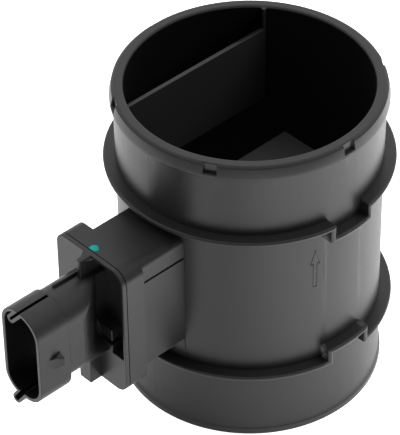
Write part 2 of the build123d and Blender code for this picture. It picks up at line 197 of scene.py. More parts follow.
class Value:
    """A number from a socket; sums with it add their own Math nodes."""

    def __init__(self, tree, socket):
        self.tree = tree
        self.socket = socket

    def result(self, operation, *values):
        """What one Math node makes of the values."""
        node = self.tree.node("ShaderNodeMath", dict(enumerate(values)), operation=operation)
        return Value(self.tree, node.outputs[0])

    def math(self, operation, *others):
        """What one Math node makes of this value and any others."""
        return self.result(operation, self, *others)

    def __add__(self, other):
        return self.math("ADD", other)

    def __sub__(self, other):
        return self.math("SUBTRACT", other)

    def __rsub__(self, other):
        return self.result("SUBTRACT", other, self)

    def __mul__(self, other):
        return self.math("MULTIPLY", other)

    def __truediv__(self, other):
        return self.math("DIVIDE", other)

    def __gt__(self, other):
        return self.math("GREATER_THAN", other)

    def __lt__(self, other):
        return self.math("LESS_THAN", other)

    __radd__ = __add__

    def size(self):
        return self.math("ABSOLUTE")

    def within(self, low, high):
        """1 between two numbers, otherwise 0."""
        return (self > low) * (self < high)

    def repeat(self, step):
        """The distance from the nearest whole step."""
        return self.math("PINGPONG", step / 2)

    def ramp(self, low, high, least=0.0, most=1.0):
        """The least below low, the most above high and smooth between them."""
        node = self.tree.node("ShaderNodeMapRange", {
            "Value": self, "From Min": low, "From Max": high, "To Min": least, "To Max": most},
            interpolation_type="SMOOTHSTEP")
        return Value(self.tree, node.outputs[0])


class Tree:
    """A node tree of a material, a geometry recipe or the world, started empty."""

    def __init__(self, tree):
        self.tree = tree
        tree.nodes.clear()

    def node(self, kind, sockets=(), **settings):
        """Adds a node and sets or links its sockets; a node given links its first output."""
        node = self.tree.nodes.new(kind)
        for key, value in settings.items():
            setattr(node, key, value)
        for key, value in dict(sockets).items():
            socket = node.inputs[key] if isinstance(key, int) else socket_of(node.inputs, key)
            if isinstance(value, bpy.types.Node):
                value = value.outputs[0]
            elif isinstance(value, Value):
                value = value.socket
            if isinstance(value, bpy.types.NodeSocket):
                self.tree.links.new(value, socket)
            elif socket.type == "RGBA" and len(value) == 3:
                socket.default_value = (*value, 1.0)
            else:
                socket.default_value = value
        return node

    def axes(self):
        """The place's three coordinates, in metres."""
        split = self.node("ShaderNodeSeparateXYZ", {"Vector": self.place})
        return [Value(self, output) for output in split.outputs]


class Finish(Tree):
    """A procedural material on one Principled shader; constants go to its sockets."""

    def __init__(self, name, **constants):
        self.material = bpy.data.materials.new(name)
        self.material.use_nodes = True
        super().__init__(self.material.node_tree)
        self.shader = self.node("ShaderNodeBsdfPrincipled", {
            key.replace("_", " ").title().replace("Ior", "IOR"): value
            for key, value in constants.items()})
        self.output = self.node("ShaderNodeOutputMaterial")
        self.show(self.shader)
        self.place = self.node("ShaderNodeTexCoord").outputs["Object"]

    def show(self, shader):
        """Links a shader to the material's output."""
        self.tree.links.new(shader.outputs[0], self.output.inputs["Surface"])

    def noise(self, grain, detail=2.0, stretch=(1, 1, 1), roughness=0.5):
        """Noise from 0 to 1 whose grain is about that long, in metres."""
        scaled = self.node("ShaderNodeMapping", {"Vector": self.place, "Scale": stretch})
        node = self.node("ShaderNodeTexNoise", {
            "Vector": scaled, "Scale": 1 / grain, "Detail": detail, "Roughness": roughness})
        return Value(self, node.outputs[0])

    def cells(self, grain):
        """The distance from the edge within cells that are about that large, in cells."""
        node = self.node("ShaderNodeTexVoronoi", {"Vector": self.place, "Scale": 1 / grain},
                         feature="DISTANCE_TO_EDGE")
        return Value(self, node.outputs[0])

    def blend(self, share, low, high):
        """One colour into another by a share from 0 to 1."""
        node = self.node("ShaderNodeMix", {
            "Factor_Float": share, "A_Color": low, "B_Color": high},
            data_type="RGBA", clamp_factor=True)
        return socket_of(node.outputs, "Result_Color")

    def feed(self, **sockets):
        """Links values or colours into the shader's own sockets."""
        for key, value in sockets.items():
            socket = self.shader.inputs[key.replace("_", " ").title()]
            self.tree.links.new(value.socket if isinstance(value, Value) else value, socket)

    def bump(self, *heights):
        """Stacks (height, depth in metres, strength) into the shader's normal."""
        last = {}
        for height, depth, strength in heights:
            node = self.node("ShaderNodeBump", {
                "Height": height, "Distance": depth, "Strength": strength, **last})
            last = {"Normal": node}
        self.tree.links.new(node.outputs[0], self.shader.inputs["Normal"])


def shade(rgb, share):
    """A colour made lighter or darker by a share."""
    return tuple(min(1.0, channel * share) for channel in rgb)


# -------------------- finishes
def glass_filled_plastic(name, rgb, roughness, flow_axis=(1, 1, 0.35)):
    """Black glass-filled nylon: spark-eroded grain, flow streaks, stray fibres and scuffs, and
    painted shade inside the bore and the socket.
    """
    finish = Finish(name, specular_ior_level=0.5)
    flow = finish.noise(0.022, 3.0, flow_axis)
    mottle = finish.noise(0.0016, 2.0)
    fibres = finish.noise(0.00045, 1.0, (1, 1, 0.3)).ramp(0.66, 0.74)
    scuffs = finish.noise(0.006, 4.0, (1, 1, 2.5), 0.7).ramp(0.56, 0.78)
    tone = 0.30 + flow * 0.5 + mottle * 0.25
    plain = finish.blend(tone, shade(rgb, 0.84), shade(rgb, 1.16))
    flecked = finish.blend(fibres * 0.35, plain, shade(rgb, 1.9))
    worn = finish.blend(scuffs * 0.22, flecked, shade(rgb, 1.6))
    grain = finish.noise(0.00022, 2.0)
    sink = finish.noise(0.012, 1.0)
    finish.feed(base_color=worn,
                roughness=roughness - 0.05 + mottle * 0.07 + flow * 0.05 - scuffs * 0.05)
    finish.bump((sink, 0.0004, 0.10), (grain, 0.00002, 0.35))
    # Painted shade: inside the bore and the socket the plastic turns into this darker, duller
    # copy of itself.
    matt = finish.node("ShaderNodeBsdfPrincipled", {
        "Base Color": shade(rgb, 0.15), "Roughness": 0.75, "Specular IOR Level": 0.12})
    finish.show(finish.node("ShaderNodeMixShader", {
        0: painted_hollow_shade(finish), 1: finish.shader, 2: matt}))
    return finish.material


def painted_hollow_shade(finish):
    """1 on the inner faces of the bore and the connector's socket, which get a matt copy
    darkened as painted shade, otherwise 0.
    """
    x, y, z = finish.axes()
    bore = (x * x + y * y).math("SQRT").within(*BORE_REACH) * (z < BORE_TOP)
    aside, upward = (((way - middle).size() - flat).math("MAXIMUM", 0.0)
                     for way, middle, flat in zip((y, z), SOCKET_CENTRE, SOCKET_FLATS))
    inside = aside * aside + upward * upward < SOCKET_ROUND ** 2
    return bore.math("MAXIMUM", x.within(*SOCKET_DEPTH) * inside)


def seal_rubber():
    """Matt rubber with a fine dusty bloom."""
    finish = Finish("seal rubber", specular_ior_level=0.35)
    bloom = finish.noise(0.003, 4.0, roughness=0.65)
    grain = finish.noise(0.0003)
    finish.feed(base_color=finish.blend(bloom, (0.018, 0.018, 0.019), (0.045, 0.044, 0.042)),
                roughness=0.62 + bloom * 0.18)
    finish.bump((grain, 0.00002, 0.3))
    return finish.material


def clouded(name, tints, cloud, grain, roughness, spread, depth, strength=0.3, **constants):
    """A material clouded between two tints, with a grain that roughens and raises it."""
    finish = Finish(name, **constants)
    cloud, grain = finish.noise(*cloud), finish.noise(*grain)
    finish.feed(base_color=finish.blend(cloud, *tints), roughness=roughness + grain * spread)
    finish.bump((grain, depth, strength))
    return finish.material


def tinned_metal(name, rgb, roughness):
    """Tin on bronze, drawn along the blade, with fine scratches."""
    return clouded(name, (shade(rgb, 0.86), shade(rgb, 1.1)), (0.0022,),
                   (0.0006, 3.0, (0.06, 1, 1)), roughness, 0.16, 0.000008, metallic=1.0)


def base_plate_metal():
    """Rolled aluminium with its rolling lines along the plate."""
    return clouded("rolled aluminium", ((0.60, 0.60, 0.61), (0.76, 0.76, 0.77)), (0.005,),
                   (0.0005, 3.0, (0.04, 1, 1)), 0.28, 0.2, 0.000006, metallic=1.0)


def chip_mould():
    """Moulding compound of a chip or carrier, slightly glossy with a fine grain."""
    return clouded("chip moulding compound", ((0.030, 0.030, 0.033), (0.052, 0.052, 0.056)),
                   (0.002,), (0.00012,), 0.36, 0.14, 0.000008, specular_ior_level=0.5)


def soft_gel():
    """Clear soft silicone gel, with slow ripples on its surface."""
    ripple = (0.006, 1.0)
    return clouded("silicone gel", ((0.74, 0.79, 0.80), (0.86, 0.90, 0.90)), ripple, ripple,
                   0.06, 0.06, 0.0003, strength=0.4, transmission_weight=0.85, ior=1.41,
                   specular_ior_level=0.5)


def board_ceramic():
    """A white ceramic board with printed conductor lines and solder lands."""
    finish = Finish("printed ceramic board", specular_ior_level=0.4)
    x, _, z = finish.axes()
    columns, rows = x.repeat(0.0042), z.repeat(0.0036)
    line, land = 0.00032, 0.0007
    switch = finish.noise(0.007, 0.0).ramp(0.49, 0.51)
    lines = switch * (columns < line) + (1 - switch) * (rows < line)
    lands = (columns < land) * (rows < land)
    metal = (lines + lands).math("MINIMUM", 1.0) * (finish.cells(0.0045) > 0.03)
    chalk = finish.noise(0.0012)
    ceramic = finish.blend(chalk, (0.74, 0.76, 0.74), (0.86, 0.88, 0.86))
    finish.feed(base_color=finish.blend(metal, ceramic, (0.62, 0.56, 0.46)),
                roughness=0.62 - metal * 0.26, metallic=metal * 0.8)
    finish.bump((metal, 0.00002, 0.5))
    return finish.material


def silicon_die():
    """A polished silicon die with its etched membrane and conductor rim."""
    low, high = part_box("sensor_chip")
    finish = Finish("silicon die", specular_ior_level=0.8)
    x, _, z = finish.axes()
    dx = (x - (low[0] + high[0]) / 2).size()
    dz = (z - (low[2] + high[2]) / 2).size()
    reach = dx.math("MAXIMUM", dz)
    membrane = reach < 0.0008
    rim = reach.within(0.0014, 0.00165)
    body = finish.blend(membrane, (0.16, 0.18, 0.22), (0.30, 0.20, 0.34))
    haze = finish.noise(0.0006)
    finish.feed(base_color=finish.blend(rim, body, (0.72, 0.62, 0.38)),
                roughness=0.10 + haze * 0.08, metallic=0.35 + rim * 0.5)
    return finish.material


def capacitor_ceramic():
    """Brown ceramic capacitors with tinned ends."""
    low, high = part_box(CAPACITORS[0])
    finish = Finish("capacitor ceramic", specular_ior_level=0.45)
    x, _, _ = finish.axes()
    ends = (x - (low[0] + high[0]) / 2).size() > (high[0] - low[0]) * 0.28
    cloud = finish.noise(0.0005)
    body = finish.blend(cloud, (0.36, 0.24, 0.13), (0.50, 0.36, 0.22))
    finish.feed(base_color=finish.blend(ends, body, (0.66, 0.65, 0.62)),
                metallic=ends * 0.9, roughness=0.48 - ends * 0.14 + cloud * 0.06)
    return finish.material


def bead_glass():
    """The thermistor's dark glass bead."""
    finish = Finish("thermistor glass", coat_weight=0.6, coat_roughness=0.05)
    cloud = finish.noise(0.0008)
    finish.feed(base_color=finish.blend(cloud, (0.05, 0.035, 0.035), (0.10, 0.07, 0.065)),
                roughness=0.18 + cloud * 0.1)
    return finish.material


def inspection_paint(rgb):
    """A thick dab of inspection paint, uneven where the brush lifted."""
    finish = Finish("inspection paint", specular_ior_level=0.12)
    streak = finish.noise(0.0007, 3.0, (1, 2, 1))
    thin = finish.noise(0.0011, 2.0).ramp(0.36, 0.66)
    finish.feed(base_color=finish.blend(streak * 0.5 + thin * 0.4, shade(rgb, 0.6),
                                        shade(rgb, 1.15)),
                roughness=0.45 + streak * 0.2)
    finish.bump((streak, 0.0001, 0.5))
    return finish.material


# -------------------- mesh building
def add_object(name, data):
    """A new object in the scene."""
    holder = bpy.data.objects.new(name, data)
    bpy.context.scene.collection.objects.link(holder)
    return holder


def link(name, mesh, material):
    """A finished piece from a mesh in the frame, which rides on the sensor."""
    piece = add_object(name, mesh)
    piece.data.materials.clear()
    piece.data.materials.append(material)
    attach(piece, "root")
    return piece


def evaluated(piece):
    """A plain mesh of an object with its modifiers applied."""
    graph = bpy.context.evaluated_depsgraph_get()
    return bpy.data.meshes.new_from_object(piece.evaluated_get(graph), depsgraph=graph)


def drop(piece):
    """Removes a working object and its mesh."""
    mesh = piece.data
    bpy.data.objects.remove(piece)
    bpy.data.meshes.remove(mesh)


def to_mesh(solid, name, outward=False):
    """Turns a bmesh into a mesh, with its faces turned outward first where asked."""
    if outward:
        bmesh.ops.recalc_face_normals(solid, faces=solid.faces)
    mesh = bpy.data.meshes.new(name)
    solid.to_mesh(mesh)
    solid.free()
    return mesh


def join_rows(solid, rows, closed=True):
    """Faces from each row of points to the next; closed rows are rings."""
    for first, second in zip(rows, rows[1:]):
        for index in range(len(first) if closed else len(first) - 1):
            following = (index + 1) % len(first)
            solid.faces.new((first[index], first[following], second[following], second[index]))


def merged(node):
    """A copy of a node's solid with its doubles merged and its flat faces joined."""
    solid = bmesh.new()
    solid.from_mesh(NODES[node].data)
    bmesh.ops.remove_doubles(solid, verts=solid.verts, dist=1e-6)
    bmesh.ops.dissolve_limit(solid, angle_limit=math.radians(0.5), verts=solid.verts,
                             edges=solid.edges, delimit=set())
    return solid


def rounded_copy(name, node, width, share_of, ease=None):
    """A copy of a node whose corners are rounded by width times share_of(edge)."""
    solid = merged(node)
    if ease:
        ease(solid)
    weights = []
    for edge in solid.edges:
        sharp = (edge.is_manifold and edge.is_convex
                 and edge.calc_face_angle() > math.radians(30))
        weights.append(share_of(edge) if sharp else 0.0)
    mesh = to_mesh(solid, name)
    mesh.attributes.new("bevel_weight_edge", "FLOAT", "EDGE").data.foreach_set("value", weights)
    work = add_object(name + " blank", mesh)
    bevel = work.modifiers.new("rounding", "BEVEL")
    bevel.limit_method = "WEIGHT"
    bevel.width = width
    bevel.segments = 3
    bevel.use_clamp_overlap = False
    bevel.miter_outer = "MITER_ARC"
    result = evaluated(work)
    drop(work)
    result.name = name
    tidy_shading(result)
    return result


def tidy_shading(mesh):
    """Smooth faces with sharp edges kept where the surface really turns."""
    mesh.polygons.foreach_set("use_smooth", [True] * len(mesh.polygons))
    mesh.set_sharp_from_angle(angle=math.radians(38))


def turn_normals(mesh):
    """Points the normals of the round walls and of the frame's corner straight outward."""
    normals = [corner.vector.copy() for corner in mesh.corner_normals]

    def swing(index, axes, away):
        """Turns a corner's normal that way, as seen along the third axis."""
        normal = normals[index]
        flat = math.hypot(*(normal[axis] for axis in axes))
        for axis, part in zip(axes, away):
            normal[axis] = part * flat
        normal.normalize()

    def corners(face):
        return [(index, mesh.vertices[mesh.loops[index].vertex_index].co)
                for index in face.loop_indices]

    for face in mesh.polygons:
        reach = math.hypot(face.center.x, face.center.y)
        flat = math.hypot(face.normal.x, face.normal.y)
        if reach < WALL_REACH or flat < 0.02:
            continue
        turn = (face.normal.x * face.center.x + face.normal.y * face.center.y) / reach / flat
        if abs(turn) < 0.995:
            continue
        for index, place in corners(face):
            swing(index, (0, 1), place.xy.normalized() * math.copysign(1.0, turn))
    for face in mesh.polygons:
        on_frame = FRAME_FRONT - NEAR < face.center.x < FRAME_BACK + NEAR
        if abs(face.normal.x) > 0.2 or not on_frame:
            continue
        for index, place in corners(face):
            away = Vector((place.y - CORNER_Y, place.z - CORNER_Z))
            if away.x < 0 < away.y and abs(away.length - CORNER_ROUND) < 0.0004:
                swing(index, (1, 2), away.normalized())
    mesh.normals_split_custom_set(normals)


def weigh_normals(piece):
    """Lets the large faces decide the shading, so that flats look flat beside a rounding."""
    weighted = piece.modifiers.new("weighted normals", "WEIGHTED_NORMAL")
    weighted.keep_sharp = True
    weighted.weight = 50


# -------------------- geometry nodes
class Recipe(Tree):
    """A geometry node tree with named inputs, which ends in plain geometry of one material."""

    def __init__(self, name, **inputs):
        super().__init__(bpy.data.node_groups.new(name, "GeometryNodeTree"))
        kinds = {float: "NodeSocketFloat", int: "NodeSocketInt"}
        add = self.tree.interface.new_socket
        add("Geometry", in_out="INPUT", socket_type="NodeSocketGeometry")
        self.values = {}
        for key, value in inputs.items():
            socket = add(key.replace("_", " ").capitalize(), in_out="INPUT",
                         socket_type=kinds[type(value)])
            self.values[socket.identifier] = value
        add("Geometry", in_out="OUTPUT", socket_type="NodeSocketGeometry")
        self.entry = self.node("NodeGroupInput")
        self.place = self.node("GeometryNodeInputPosition")

    def given(self, label):
        """One of the recipe's inputs."""
        return Value(self, self.entry.outputs[label])

    def curves(self):
        """The given edges as curves."""
        return self.node("GeometryNodeMeshToCurve", {"Mesh": self.given("Geometry")})

    def ridge(self, curves, half, sides):
        """A round ridge along curves, with that radius."""
        profile = self.node("GeometryNodeCurvePrimitiveCircle", {
            "Resolution": sides, "Radius": half})
        return self.node("GeometryNodeCurveToMesh", {
            "Curve": curves, "Profile Curve": profile, "Fill Caps": True})

    def make(self, mesh, material, geometry, slot):
        """Runs the recipe on a mesh and returns the finished piece of the same name."""
        real = self.node("GeometryNodeRealizeInstances", {"Geometry": geometry})
        coated = self.node("GeometryNodeSetMaterial", {
            "Geometry": real, "Material": material})
        self.node("NodeGroupOutput", {"Geometry": coated})
        work = add_object(self.tree.name + " blank", mesh)
        modifier = work.modifiers.new(self.tree.name, "NODES")
        modifier.node_group = self.tree
        for identifier, value in self.values.items():
            modifier[identifier] = value
        result = evaluated(work)
        work.modifiers.remove(modifier)
        drop(work)
        result.name = self.tree.name
        tidy_shading(result)
        return link(self.tree.name.replace(" ", "_"), result, material)


def polyline(name, chains, closed=False):
    """A mesh of bare edges through each chain of points."""
    lines = bmesh.new()
    for chain in chains:
        points = [lines.verts.new(point) for point in chain]
        for pair in zip(points, points[1:] + points[:1] if closed else points[1:]):
            lines.edges.new(pair)
    return to_mesh(lines, name)


# -------------------- operators
class MouldTube(bpy.types.Operator):
    """Rounds the measuring tube's moulded edges and gives it its plastic"""
    bl_idname = "airflow.mould_tube"
    bl_label = "Mould the tube"

    def execute(self, context):
        tube = context.scene.airflow.tube
        def share_of(edge):
            ends = [vert.co for vert in edge.verts]
            reach = [math.hypot(end.x, end.y) for end in ends]
            middle = (ends[0] + ends[1]) / 2
            if on_joint(middle):
                width = tube.joint_round
            elif max(reach) < PLATE_REACH:
                width = tube.plate_round
            elif (min(reach) > RIB_REACH[0] and max(reach) < RIB_REACH[1]
                    and not inside(middle, POCKET_BOX)):
                width = tube.rib_round
            elif inside(middle, GROOVE_BOX) or on_frame_back(middle):
                width = tube.groove_round
            else:
                width = tube.edge_round
            return width / tube.rib_round

        def ease(solid):
            ease_pocket(solid, tube.pocket_round)
            open_joint(solid, tube.joint_gap)

        mesh = rounded_copy("moulded tube", "tube_housing", tube.rib_round, share_of, ease)
        plastic = glass_filled_plastic("housing plastic", tube.plastic, tube.roughness)
        piece = link("moulded_tube", mesh, plastic)
        weigh_normals(piece)
        shaded = evaluated(piece)
        piece.modifiers.clear()
        for vert in shaded.vertices:
            vert.co.z = min(vert.co.z, CAD_BOX[1][2])
        turn_normals(shaded)
        piece.data = shaded
        bpy.data.meshes.remove(mesh)
        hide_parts("tube_housing")
        return {"FINISHED"}


def inside(point, box):
    """Whether a point lies in a box, which gives a low and a high end for each axis."""
    return all(low < way < high for way, (low, high) in zip(point, box))


def ease_pocket(solid, radius, steps=12):
    """Widens the small round on the pocket's top right edge, so that it clears the frame."""
    touch, wall_end = 0.00001, -0.050
    old_y, old_z = POCKET_RIGHT + POCKET_ROUND, POCKET_TOP - POCKET_ROUND
    new_y, new_z = POCKET_RIGHT + radius, POCKET_TOP - radius
    near, far = [], []
    for vert in solid.verts:
        x, y, z = vert.co
        if not (x < POCKET_FOOT and POCKET_RIGHT - touch < y < old_y + touch
                and old_z - touch < z < POCKET_TOP + touch):
            continue
        reach = math.hypot(x, y)
        vert.co.y = new_y + (y - old_y) / POCKET_ROUND * radius
        vert.co.z = new_z + (z - old_z) / POCKET_ROUND * radius
        if x > wall_end:
            vert.co.x = -math.sqrt(reach ** 2 - vert.co.y ** 2)
        (near if x > wall_end else far).append(vert)
    old = {*near, *far}
    bmesh.ops.delete(solid, geom=[face for face in solid.faces if old.issuperset(face.verts)],
                     context="FACES_ONLY")
    edge = close_corner(solid, far)
    rows = []
    for ends in (near, far):
        ends.sort(key=lambda vert: vert.co.z)
        wall = math.hypot(ends[0].co.x, ends[0].co.y) if ends is near else None
        row = [ends[0]]
        for step in range(1, steps):
            turn = math.pi / 2 * step / steps
            y = new_y - radius * math.cos(turn)
            x = -math.sqrt(wall ** 2 - y ** 2) if wall else ends[0].co.x
            row.append(solid.verts.new((x, y, new_z + radius * math.sin(turn))))
        rows.append(row + [ends[-1]])
    for index in range(steps):
        add_right_face(solid, rows[0][index], rows[1][index], rows[1][index + 1],
                       rows[0][index + 1])
    if edge:
        solid.faces.new(rows[1][::-1] + edge).normal_update()
    solid.normal_update()


def add_right_face(solid, *verts):
    """Adds a face that looks to the right, which is towards less Y."""
    face = solid.faces.new(verts)
    face.normal_update()
    if face.normal.y > 0:
        face.normal_flip()


def close_corner(solid, ends):
    """Carries the frame's rounded corner on to its back, past the pocket's corner."""
    def on_corner(vert):
        reach = math.hypot(vert.co.y - CORNER_Y, vert.co.z - CORNER_Z)
        return (vert.co.x < FRAME_BACK + NEAR and vert.co.z > CORNER_Z and vert not in ends
                and abs(reach - CORNER_ROUND) < 0.00003)

    faces = {face for vert in ends for face in vert.link_faces}
    stub = next(face for face in faces if abs(face.normal.x) > 0.5)
    inner = sorted((vert for vert in stub.verts if on_corner(vert)), key=lambda vert: vert.co.z)
    outer = []
    for vert in inner:
        there = [other for other in solid.verts if abs(other.co.x - FRAME_BACK) < NEAR
                 and abs(other.co.y - vert.co.y) + abs(other.co.z - vert.co.z) < 0.00005]
        outer.append(there[0] if there else solid.verts.new((FRAME_BACK, vert.co.y, vert.co.z)))
    for face in faces - {stub}:
        kept = [vert for vert in face.verts if not on_corner(vert)]
        solid.faces.remove(face)
        solid.faces.new(kept)
    solid.faces.remove(stub)
    for index in range(len(inner) - 1):
        add_right_face(solid, inner[index], inner[index + 1], outer[index + 1], outer[index])
    for vert in ends:
        vert.co.x = FRAME_BACK
    return outer


def open_joint(solid, gap):
    """Sets the frame's front back a little, so that the joint behind the flange shows."""
    for vert in solid.verts:
        if abs(vert.co.x - FRAME_FRONT) < NEAR:
            vert.co.x += gap


def on_joint(point):
    """Whether a point lies where the frame's front meets the back of the flange."""
    return FRAME_FRONT - NEAR < point.x < FRAME_FRONT + 4 * NEAR


def on_frame_back(point):
    """Whether a point lies on the low step where the frame ends on the pocket."""
    return abs(point.x - FRAME_BACK) < 0.0002


class MouldPlug(bpy.types.Operator):
    """Rounds the plug-in sensor and its two covers and gives them their plastic"""
    bl_idname = "airflow.mould_plug"
    bl_label = "Mould the plug-in sensor"

    def execute(self, context):
        plug = context.scene.airflow.plug
        plastic, cover_plastic = (
            glass_filled_plastic(name, shade(plug.plastic, share), plug.roughness, (0.4, 1, 1))
            for name, share in (("sensor plastic", 1.0), ("cover plastic", 1.1)))
        joint = context.scene.airflow.tube.joint_round / plug.edge_round

        def share_of(edge):
            return joint if all(on_joint(vert.co) for vert in edge.verts) else 1.0

        mesh = rounded_copy("plug-in body", "sensor_body", plug.edge_round, share_of)
        body = link("plug-in_body", mesh, plastic)
        weigh_normals(body)
        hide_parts("sensor_body")
        blend = link("neck_blend", blend_mesh(plug), plastic)
        tidy_shading(blend.data)
        for node in ("electronics_cover", "bypass_cover"):
            label = "rounded_" + node
            mesh = rounded_copy(label, node, plug.cover_round, lambda edge: 1.0)
            cover = link(label, mesh, cover_plastic)
            weigh_normals(cover)
            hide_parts(node)
        return {"FINISHED"}


def neck_side(z):
    """How far right the neck reaches at a height, in metres; its two corners are round."""
    for past, radius in ((z - 0.0616, 0.0078), (0.0463 - z, 0.0070)):
        if past > 0:
            return NECK_RIGHT + radius - math.sqrt(max(0.0, radius ** 2 - past ** 2))
    return NECK_RIGHT


def blend_mesh(plug):
    """The soft turn of the neck's right side into the recess, as a closed shell."""
    span = plug.blend_end - plug.blend_start
    across, upward, shell = 26, 40, 0.0005
    low, high = 0.0431, 0.06937
    overrun, lead, fade, proud = 0.0041, 0.0004, 0.0048, 0.00002
    solid = bmesh.new()
    outer, inner = [], []
    for row in range(upward + 1):
        z = low + (high - low) * math.sin(math.pi / 2 * row / upward)
        side = neck_side(z)
        share = min(1.0, max(0.0, (z - low + lead) / fade))
        share = share * share * (3 - 2 * share)
        outer.append([])
        inner.append([])
        for column in range(across + 1):
            x = plug.blend_start + (span + overrun) * column / across
            turn = min(1.0, (x - plug.blend_start) / span)
            turned = NECK_RIGHT + plug.blend_depth * turn ** 2
            y = max(side, side + (turned - side) * share) + proud
            outer[-1].append(solid.verts.new((x, y, z)))
            inner[-1].append(solid.verts.new((x, y + shell, z)))
    ends = [([row[end] for row in outer], [row[end] for row in inner]) for end in (0, -1)]
    for rows in (outer, inner, *ends, (outer[0], inner[0]), (outer[-1], inner[-1])):
        join_rows(solid, rows, closed=False)
    return to_mesh(solid, "neck blend", outward=True)


class RaiseArrow(bpy.types.Operator):
    """Wraps the outlined flow arrow round the tube's wall"""
    bl_idname = "airflow.raise_arrow"
    bl_label = "Raise the flow arrow"

    def execute(self, context):
        arrow = context.scene.airflow.arrow
        head, shaft = arrow.head_width / 2, arrow.shaft_width / 2
        right = [(head, 0, arrow.shoulder), (shaft, 0, arrow.shoulder), (shaft, 0, arrow.tail)]
        left = [(-x, y, z) for x, y, z in reversed(right)]
        outline = polyline("flow arrow outline", [[(0, 0, arrow.tip), *right, *left]],
                           closed=True)
        recipe = Recipe("flow arrow", tube_radius=arrow.tube_radius, place=arrow.place,
                        line=arrow.line, steps=10)
        fine = recipe.node("GeometryNodeSubdivideCurve", {
            "Curve": recipe.curves(), "Cuts": recipe.given("Steps")})
        x, _, z = recipe.axes()
        radius = recipe.given("Tube radius")
        turn = x / radius + recipe.given("Place")
        wrapped = recipe.node("ShaderNodeCombineXYZ", {
            "X": turn.math("COSINE") * radius, "Y": turn.math("SINE") * radius, "Z": z})
        laid = recipe.node("GeometryNodeSetPosition", {
            "Geometry": fine, "Position": wrapped})
        ridge = recipe.ridge(laid, recipe.given("Line") * 0.5, 8)
        recipe.make(outline, bpy.data.materials["housing plastic"], ridge, "housing_plastic")
        return {"FINISHED"}


class TraceSeams(bpy.types.Operator):
    """Traces the mould's parting lines up both sides of the tube"""
    bl_idname = "airflow.trace_seams"
    bl_label = "Trace the parting lines"

    def execute(self, context):
        seam = context.scene.airflow.seam
        chains = [[(side * wall_radius(z), 0, z) for z in run]
                  for side in (-1, 1) for run in wall_runs(side)]
        recipe = Recipe("parting lines", width=seam.width, sink=seam.sink)
        half = recipe.given("Width") * 0.5
        level = recipe.node("ShaderNodeVectorMath", {0: recipe.place, 1: (1, 1, 0)},
                            operation="MULTIPLY")
        outward = recipe.node("ShaderNodeVectorMath", {0: level}, operation="NORMALIZE")
        inward = recipe.node("ShaderNodeVectorMath", {
            0: outward, "Scale": half * recipe.given("Sink") * -1.0}, operation="SCALE")
        laid = recipe.node("GeometryNodeSetPosition", {
            "Geometry": recipe.curves(), "Offset": inward})
        recipe.make(polyline("parting line runs", chains),
                    bpy.data.materials["housing plastic"], recipe.ridge(laid, half, 10),
                    "housing_plastic")
        return {"FINISHED"}


def wall_radius(z):
    """Outside radius of the tube's drafted wall at a height, in metres."""
    return MM * (41.1 + 0.3 * max(0.0, z / MM - 79.3) / 21.7
                 + 0.4 * max(0.0, 25.2 - z / MM) / 22.0)


def wall_runs(side):
    """The stretches of bare wall that a parting line follows on one side."""
    runs = [(4.4, 25.0), (27.2, 79.1), (81.2, 101.2)]
    if side < 0:
        runs[1] = (27.2, 34.5)
    return [(low * MM, high * MM) for low, high in runs]


class SetTerminals(bpy.types.Operator):
    """Sets the row of terminal blades in the connector"""
    bl_idname = "airflow.set_terminals"
    bl_label = "Set the terminals"

    def execute(self, context):
        blade = context.scene.airflow.terminals
        low, high = (Vector(corner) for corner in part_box(TERMINALS[0]))
        last = Vector(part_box(TERMINALS[-1])[0])
        pitch = (last.z - low.z) / (len(TERMINALS) - 1)
        recipe = Recipe("terminal blades", count=len(TERMINALS), pitch=pitch)
        offset = recipe.node("ShaderNodeCombineXYZ", {"Z": recipe.given("Pitch")})
        row = recipe.node("GeometryNodeMeshLine", {
            "Count": recipe.given("Count"), "Offset": offset}, mode="OFFSET")
        blades = recipe.node("GeometryNodeInstanceOnPoints", {
            "Points": row, "Instance": recipe.given("Geometry")})
        metal = tinned_metal("tinned terminal", blade.metal, 0.22)
        piece = recipe.make(bent_blade(blade, low, high), metal, blades, "terminal_metal")
        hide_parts(*TERMINALS)
        return {"FINISHED"}


def bent_blade(blade, low, high):
    """One terminal: a tapered tip, a straight bar, a bend and the leg down to the board."""
    centre_y = high.y - blade.thickness / 2
    half = blade.thickness / 2
    outer = blade.bend + blade.thickness
    corner = Vector((high.x - outer, high.y - outer))
    path = [((low.x + blade.nose * along, centre_y), (0, 1), thick, wide)
            for along, thick, wide in ((0, 0.35, 0.45), (0.35, 0.75, 0.8), (1, 1.0, 1.0))]
    for step in range(7):
        turn = math.radians(90 - 15 * step)
        way = Vector((math.cos(turn), math.sin(turn)))
        path.append((corner + way * (blade.bend + half), way, 1.0, 1.0))
    path.append((Vector((high.x - half, low.y)), (1, 0), 1.0, 1.0))
    solid = bmesh.new()
    rings = []
    middle_z = (low.z + high.z) / 2
    for place, way, thick, wide in path:
        place, way = Vector(place), Vector(way)
        rise, run = half * thick, blade.width / 2 * wide
        chamfer = 0.16 * min(rise, run)
        section = [(rise, run - chamfer), (rise - chamfer, run), (chamfer - rise, run),
                   (-rise, run - chamfer), (-rise, chamfer - run), (chamfer - rise, -run),
                   (rise - chamfer, -run), (rise, chamfer - run)]
        rings.append([solid.verts.new((*(place + way * up), middle_z + side))
                      for up, side in section])
    join_rows(solid, rings)
    solid.faces.new(rings[0])
    solid.faces.new(rings[-1][::-1])
    return to_mesh(solid, "terminal blade", outward=True)


